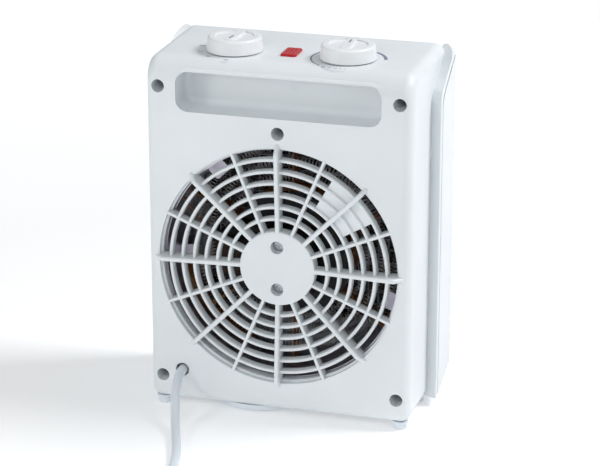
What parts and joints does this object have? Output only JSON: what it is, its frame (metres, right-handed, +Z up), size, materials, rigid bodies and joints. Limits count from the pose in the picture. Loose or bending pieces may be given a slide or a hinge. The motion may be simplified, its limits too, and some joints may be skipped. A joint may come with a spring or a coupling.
{
  "type": "fan convector heater",
  "caption": "Compact upright electric fan heater with a round intake grille, a carrying recess, rotary power and thermostat knobs, a louvred outlet and a mains lead.",
  "frame": {"origin": "on the surface that the heater stands on, under the middle of its width and depth, without the lead", "axes": "+Z up, +Y out of the rear face with the intake grille and the lead, -Y out of the warm-air outlet"},
  "size_m": [0.22, 0.355, 0.2889],
  "materials": {
    "white_plastic": "fine satin moulding texture, cool white",
    "knob_white": "semi-gloss white",
    "black_plastic": "moulded",
    "nylon": "natural nylon",
    "ceramic": "unglazed, moulded",
    "foot_plastic": "soft moulded",
    "cord_sheath": "smooth flexible sheath",
    "wire_insulation": "silicone insulation",
    "red_lens": "clear moulded",
    "lamp_glass": "clear",
    "zinc_steel": "zinc plated",
    "galvanised_steel": "bright galvanised sheet",
    "steel_wire": "drawn wire",
    "lamination_steel": "stacked laminations, dark varnish",
    "resistance_wire": "oxidised drawn wire",
    "mica": "pressed mica board",
    "brass": "stamped",
    "copper": "enamelled winding wire",
    "aluminium": "satin sheet",
    "plug_metal": "nickel plated"
  },
  "bodies": {
    "heater": {"rear_housing": "white_plastic", "front_cover": "white_plastic", "louvre_insert": "black_plastic", "outlet_guard": "steel_wire", "power_switch_body": "black_plastic", "thermostat_body": "ceramic", "bimetal_strip": "brass", "shaft_nuts": "zinc_steel", "indicator_lens": "red_lens", "indicator_lamp": "lamp_glass", "heater_duct": "galvanised_steel", "duct_screws": "zinc_steel", "element_brackets": "galvanised_steel", "mica_liner": "mica", "mica_boards": "mica", "heating_coils": "resistance_wire", "coil_terminals": "brass", "thermal_cutout": "black_plastic", "thermal_fuse": "aluminium", "motor_core": "lamination_steel", "winding_bobbin": "black_plastic", "motor_winding": "copper", "rear_motor_bracket": "zinc_steel", "front_motor_bracket": "zinc_steel", "motor_bushes": "brass", "motor_screws": "zinc_steel", "motor_shield": "black_plastic", "cord_clamp": "nylon", "clamp_screws": "zinc_steel", "terminal_block": "nylon", "terminal_screws": "brass", "internal_wires": "wire_insulation", "tilt_switch": "black_plastic", "tilt_switch_cover": "foot_plastic", "feet": "foot_plastic", "housing_screws": "zinc_steel", "cord_lead": "cord_sheath", "cord_coil": "cord_sheath", "cord_tail": "cord_sheath", "plug_body": "cord_sheath", "plug_pins": "plug_metal"},
    "fan": {"motor_shaft": "zinc_steel", "motor_rotor": "lamination_steel", "fan_impeller": "black_plastic", "fan_clip": "zinc_steel"},
    "power_control": {"power_knob": "knob_white", "power_switch_shaft": "nylon"},
    "thermostat_control": {"thermostat_knob": "knob_white", "thermostat_shaft": "nylon"}
  },
  "joints": [
    {"name": "fan_spin", "type": "hinge", "parent": "heater", "child": "fan", "pos_m": [0, 0, 0.122], "axis": [0, 1, 0], "continuous": true},
    {"name": "power_knob_turn", "type": "hinge", "parent": "heater", "child": "power_control", "pos_m": [0.0436, 0.011, 0.277], "axis": [0, 0, -1], "range_deg": [0, 102]},
    {"name": "thermostat_knob_turn", "type": "hinge", "parent": "heater", "child": "thermostat_control", "pos_m": [-0.0436, 0.011, 0.277], "axis": [0, 0, -1], "range_deg": [-190, 80]}
  ]
}
